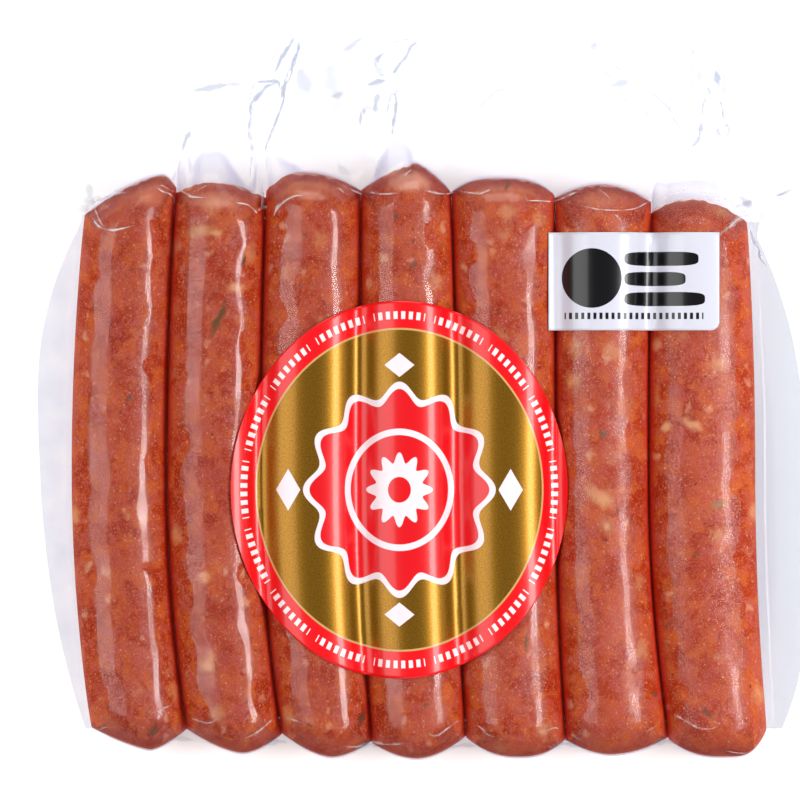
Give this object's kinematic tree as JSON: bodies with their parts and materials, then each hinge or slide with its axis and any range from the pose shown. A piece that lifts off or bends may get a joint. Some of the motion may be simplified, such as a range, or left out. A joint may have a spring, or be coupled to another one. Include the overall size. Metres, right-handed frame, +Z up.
{
  "type": "vacuum pack of sausages",
  "caption": "Clear vacuum bag of sausages lying side by side, with a round label and a small oblong label on its front.",
  "frame": {"origin": "below the middle of the bag, on the surface it lies on", "axes": "+Z up out of the labelled front, +Y along the sausages towards the bag's free flap, +X to the right as the front is seen from above"},
  "size_m": [0.1929, 0.1847, 0.0254],
  "materials": {
    "packed_meat": "clear glossy film drawn tight over reddish brown sausage meat",
    "gold_label": "glossy printed label, gold disc in a red ring",
    "white_label": "glossy white printed label with black shapes"
  },
  "bodies": {
    "root": {"vacuum_bag": "packed_meat", "round_label": "gold_label", "oblong_label": "white_label"}
  },
  "joints": []
}
